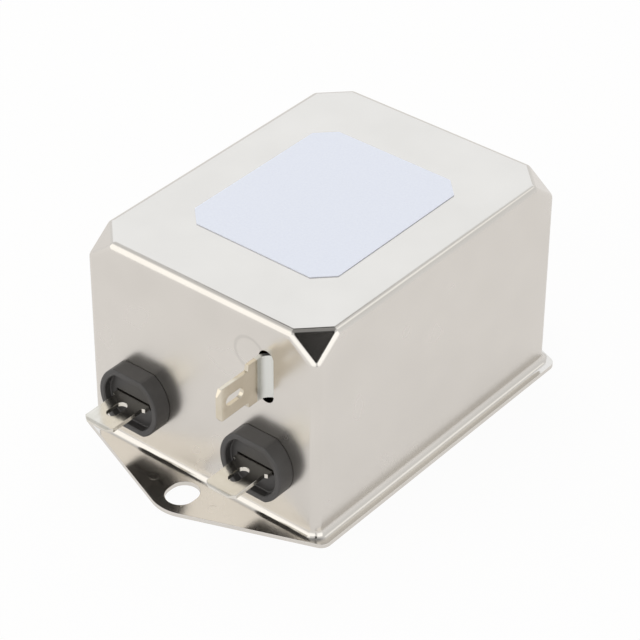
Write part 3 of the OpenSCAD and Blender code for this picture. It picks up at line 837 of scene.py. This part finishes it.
def winding_tree(points_a_turn=32):
    """Rule of one winding. Its first turn starts at the angle where its wire meets a lead."""
    count = round(WINDING["Turns"] * points_a_turn) + 1
    tree = bpy.data.node_groups.new("choke_winding", "GeometryNodeTree")
    size = tree_inputs(tree, WINDING)
    index = add(tree, "GeometryNodeInputIndex").outputs[0]
    share = maths(tree, "DIVIDE", index, count - 1.0)
    turned = maths(tree, "MULTIPLY", maths(tree, "MULTIPLY", share, size["Turns"]), math.tau)
    turned = maths(tree, "ADD", turned, math.radians(FIRST_TURN_AT))
    span = maths(tree, "SUBTRACT", size["Last angle"], size["First angle"])
    angle = maths(tree, "ADD", maths(tree, "MULTIPLY", share, span), size["First angle"])
    angle = maths(tree, "RADIANS", angle)
    out = maths(tree, "MULTIPLY", squared(tree, maths(tree, "COSINE", turned)),
                size["Half thickness"])
    radius = maths(tree, "ADD", out, size["Ring radius"])
    wide = maths(tree, "MULTIPLY", squared(tree, maths(tree, "SINE", turned)),
                 size["Half width"])
    x = maths(tree, "MULTIPLY", maths(tree, "MULTIPLY", radius, size["Side"]),
              maths(tree, "COSINE", angle))
    z = maths(tree, "ADD", maths(tree, "MULTIPLY", radius, maths(tree, "SINE", angle)),
              size["Ring height"])
    line = add(tree, "GeometryNodeMeshLine", {"Count": count})
    bent = add(tree, "GeometryNodeSetPosition", {
        "Geometry": line.outputs[0],
        "Position": vector(tree, x, maths(tree, "ADD", wide, size["Middle"]), z)})
    paths = [add(tree, "GeometryNodeMeshToCurve", {0: bent.outputs[0]}).outputs[0]]
    at = maths(tree, "MULTIPLY", size["Lead place"], size["Side"])
    for way in ("ADD", "SUBTRACT"):
        y = maths(tree, way, size["Middle"], size["Half width"])
        paths.append(add(tree, "GeometryNodeCurvePrimitiveLine", {
            "Start": vector(tree, at, y, size["Lead top"]),
            "End": vector(tree, at, y, size["Lead foot"])}).outputs[0])
    joined = tree.nodes.new("GeometryNodeJoinGeometry")
    for path in reversed(paths):
        tree.links.new(path, joined.inputs[0])
    round_wire = add(tree, "GeometryNodeCurvePrimitiveCircle", {
        "Resolution": 10, "Radius": maths(tree, "MULTIPLY", size["Wire"], 0.5)})
    wire = add(tree, "GeometryNodeCurveToMesh", {
        "Curve": joined.outputs[0], "Profile Curve": round_wire.outputs[0], "Fill Caps": True})
    end_tree(tree, wire.outputs[0], ENAMEL)
    return tree


# %% Four windings
def grown(name, mesh, tree, sizes):
    """Runs a tree with the given sizes and keeps its result as a plain smooth mesh."""
    made = new_object(name, mesh)
    run = made.modifiers.new("grow", "NODES")
    run.node_group = tree
    for item in tree.interface.items_tree:
        if item.name in sizes:
            run[item.identifier] = sizes[item.name]
    baked(made)
    bm = bmesh.new()
    bm.from_mesh(made.data)
    bmesh.ops.recalc_face_normals(bm, faces=bm.faces)
    bm.to_mesh(made.data)
    bm.free()
    for face in made.data.polygons:
        face.use_smooth = True
    return made


winding_rule = winding_tree()
for end, y in (("line", -CHOKE_Y), ("load", CHOKE_Y)):
    for side, sx in (("left", -1.0), ("right", 1.0)):
        name = f"winding_{end}_{side}"
        wound = grown(name, bpy.data.meshes.new(name), winding_rule,
                      {**WINDING, "Side": sx, "Middle": y})
        dress(wound, ENAMEL, "enamel_wire", f"choke_winding_{end}_{side}")

# %% [markdown]
# ## Solder joints
# Every lead ends in a cone of solder under the board, sunk in the resin. The leads' places are
# the points of a mesh, and a tree puts one cone on each.

# %% Solder joints
FOURFOLD = [END_PIN, LINK] + [(CHOKE_LEAD[0], CHOKE_Y + s * CHOKE_LEAD[1]) for s in (1, -1)]
joints = [(sx * x, sy * y) for x, y in FOURFOLD for sx in (-1, 1) for sy in (-1, 1)]
joints += [(sx * MIDDLE_PIN_X, 0) for sx in (-1, 1)]
joints += [(-SIDE_X, -CHOKE_Y + s * RESISTOR_PIN) for s in (-1, 1)]
joints += [(sx * SIDE_X, CHOKE_Y + s * DISC_PIN) for sx in (-1, 1) for s in (-1, 1)]


def solder_tree():
    tree = bpy.data.node_groups.new("solder_joints", "GeometryNodeTree")
    tree.interface.new_socket("Leads", in_out="INPUT", socket_type="NodeSocketGeometry")
    size = tree_inputs(tree, {"Top radius": 0.5, "Foot radius": 1.15, "Height": 0.8})
    cone = add(tree, "GeometryNodeMeshCone", {
        "Vertices": 20, "Radius Top": size["Top radius"], "Radius Bottom": size["Foot radius"],
        "Depth": size["Height"]})
    placed = add(tree, "GeometryNodeInstanceOnPoints", {
        "Points": size["Leads"], "Instance": cone.outputs[0], "Rotation": (math.pi, 0, 0)})
    end_tree(tree, placed.outputs[0], TINNED)
    return tree


places = bpy.data.meshes.new("solder_joints")
places.from_pydata([(x, y, BOARD_UNDER) for x, y in joints], [], [])
soldered = grown("solder_joints", places, solder_tree(), {})
soldered.data.materials.clear()
soldered.data.materials.append(TINNED)
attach(soldered, "root")
print("solder joints:", len(joints))

# %% [markdown]
# ## Studio
# The can is a mirror, so what stands round it matters more than the lamps. The world gives mirror
# rays a pale room that darkens towards the ceiling, and every other ray a plain even light. Cards
# far off stand for the softboxes, and dark ones are the flags that a studio hangs between them.
# Only mirror rays meet them, so they never change the light on the label and the plastic.

# %% Room
def sky():
    """World: a pale room for mirror rays, an even light for the others, white behind it all."""
    world = bpy.data.worlds.new("studio")
    bpy.context.scene.world = world
    world.use_nodes = True
    tree = world.node_tree
    tree.nodes.clear()
    path = add(tree, "ShaderNodeLightPath").outputs
    aim = add(tree, "ShaderNodeTexCoord").outputs["Generated"]
    sine_up = add(tree, "ShaderNodeSeparateXYZ", {"Vector": aim}).outputs["Z"]
    ramp = add(tree, "ShaderNodeValToRGB", {"Fac": sine_up})
    stops = ramp.color_ramp.elements
    for stop, (sine, level) in zip(stops, ((0.0, 0.93), (1.0, 0.3))):
        stop.position, stop.color = sine, (level, level, level, 1)
    for sine, level in ((0.55, 0.84), (0.80, 0.80), (0.90, 0.62), (0.95, 0.32)):
        stops.new(sine).color = (level, level, level, 1)
    room = add(tree, "ShaderNodeBackground", {"Color": ramp.outputs[0]})
    even = add(tree, "ShaderNodeBackground", {"Color": (1, 1, 1, 1), "Strength": 0.62})
    white = add(tree, "ShaderNodeBackground", {"Color": (1, 1, 1, 1)})
    mirror = add(tree, "ShaderNodeMixShader", {0: path["Is Glossy Ray"], 1: even.outputs[0],
                                               2: room.outputs[0]})
    seen = add(tree, "ShaderNodeMixShader", {0: path["Is Camera Ray"], 1: mirror.outputs[0],
                                             2: white.outputs[0]})
    add(tree, "ShaderNodeOutputWorld", {"Surface": seen.outputs[0]})


def glow(name, level):
    """Plain emission of the given level."""
    made, tree, _ = start_material(name)
    finish_material(tree, add(tree, "ShaderNodeEmission", {"Color": (*level, 1)}))
    return made


def toward(azimuth, elevation, distance):
    """Place in a direction: azimuth 0 is in front of the line end, 90 is on the +X side."""
    a, e = math.radians(azimuth), math.radians(elevation)
    return Vector((math.sin(a) * math.cos(e), -math.cos(a) * math.cos(e),
                   math.sin(e))) * distance


def card(name, azimuths, elevations, level):
    """Curved card that only mirror rays meet, between two azimuths and two elevations."""
    made = new_object(name, bpy.data.meshes.new(name))
    bm = bmesh.new()
    columns = 12
    spans = [azimuths[0] + (azimuths[1] - azimuths[0]) * i / columns for i in range(columns + 1)]
    rows = [[bm.verts.new(toward(a, e, CARD_AT)) for a in spans] for e in elevations]
    for i in range(columns):
        bm.faces.new((rows[0][i], rows[0][i + 1], rows[1][i + 1], rows[1][i]))
    bm.to_mesh(made.data)
    bm.free()
    made.data.materials.append(glow(name, level))
    for kind in ("camera", "diffuse", "transmission", "volume_scatter", "shadow"):
        setattr(made, f"visible_{kind}", False)


CARD_AT = 1.5
sky()
card("softbox_low_left", (-75, -12), (4, 50), (1.46, 1.44, 1.40))
card("softbox_high_left", (-75, -12), (50, 58), (1.0, 0.99, 0.97))
card("softbox_front", (-12, 41), (0, 39), (1.46, 1.46, 1.44))
card("softbox_right", (62, 116), (0, 45), (1.46, 1.46, 1.44))
card("softbox_back", (-178, -104), (24, 46), (1.155, 1.19, 1.235))
card("softbox_far", (146, 170), (40, 56), (1.2, 1.2, 1.18))
card("high_flag", (40, 61.5), (39.5, 70), (0.02, 0.019, 0.018))
card("low_flag", (46, 57), (-14, 8), (0.025, 0.024, 0.022))
card("ceiling_flag", (-168, -118), (50, 68), (0.08, 0.08, 0.08))

# %% [markdown]
# ## Floor and lamps
# The floor is white paper. The camera sees it almost as pure white and still gets the soft shadow
# of the part, and mirror rays see it a little less bright. The lamps bring the even light up to
# where a colour renders as it is written.

# %% Floor and lamps
def floor_paint():
    made, tree, _ = start_material("white_paper_sweep")
    path = add(tree, "ShaderNodeLightPath").outputs
    paper = add(tree, "ShaderNodeBsdfDiffuse", {"Color": linear("F4F2EF")})
    bright = add(tree, "ShaderNodeEmission", {"Color": (1, 1, 1, 1)})
    cast = add(tree, "ShaderNodeEmission", {"Color": (0.98, 0.965, 0.96, 1)})
    seen = add(tree, "ShaderNodeMixShader", {
        0: maths(tree, "MULTIPLY", path["Is Camera Ray"], 0.94),
        1: paper.outputs[0], 2: bright.outputs[0]})
    finish_material(tree, add(tree, "ShaderNodeMixShader", {
        0: maths(tree, "MULTIPLY", path["Is Glossy Ray"], 0.8),
        1: seen.outputs[0], 2: cast.outputs[0]}))
    return made


def floor(half=6, gap_mm=0.05):
    """Square floor a hair below the object, its sizes in metres but for the gap."""
    made = new_object("floor", bpy.data.meshes.new("floor"))
    bm = bmesh.new()
    corners = ((-half, -half), (half, -half), (half, half), (-half, half))
    bm.faces.new([bm.verts.new((x, y, -gap_mm * MM)) for x, y in corners])
    bm.to_mesh(made.data)
    bm.free()
    made.data.materials.append(floor_paint())


def lamp(name, place, size, power):
    """Square softbox aimed at the object. Mirror rays see the cards instead of it."""
    light = bpy.data.lights.new(name, "AREA")
    light.shape = "SQUARE"
    light.size = size
    light.energy = power
    made = new_object(name, light)
    made.location = place
    made.rotation_euler = (-Vector(place)).to_track_quat("-Z", "Y").to_euler()
    made.visible_glossy = False


floor()
lamp("top_softbox", (-0.3, 0.25, 0.9), 0.7, 2.9)
lamp("front_fill", (-0.5, -0.8, 0.5), 0.6, 2.0)
print("studio stands")
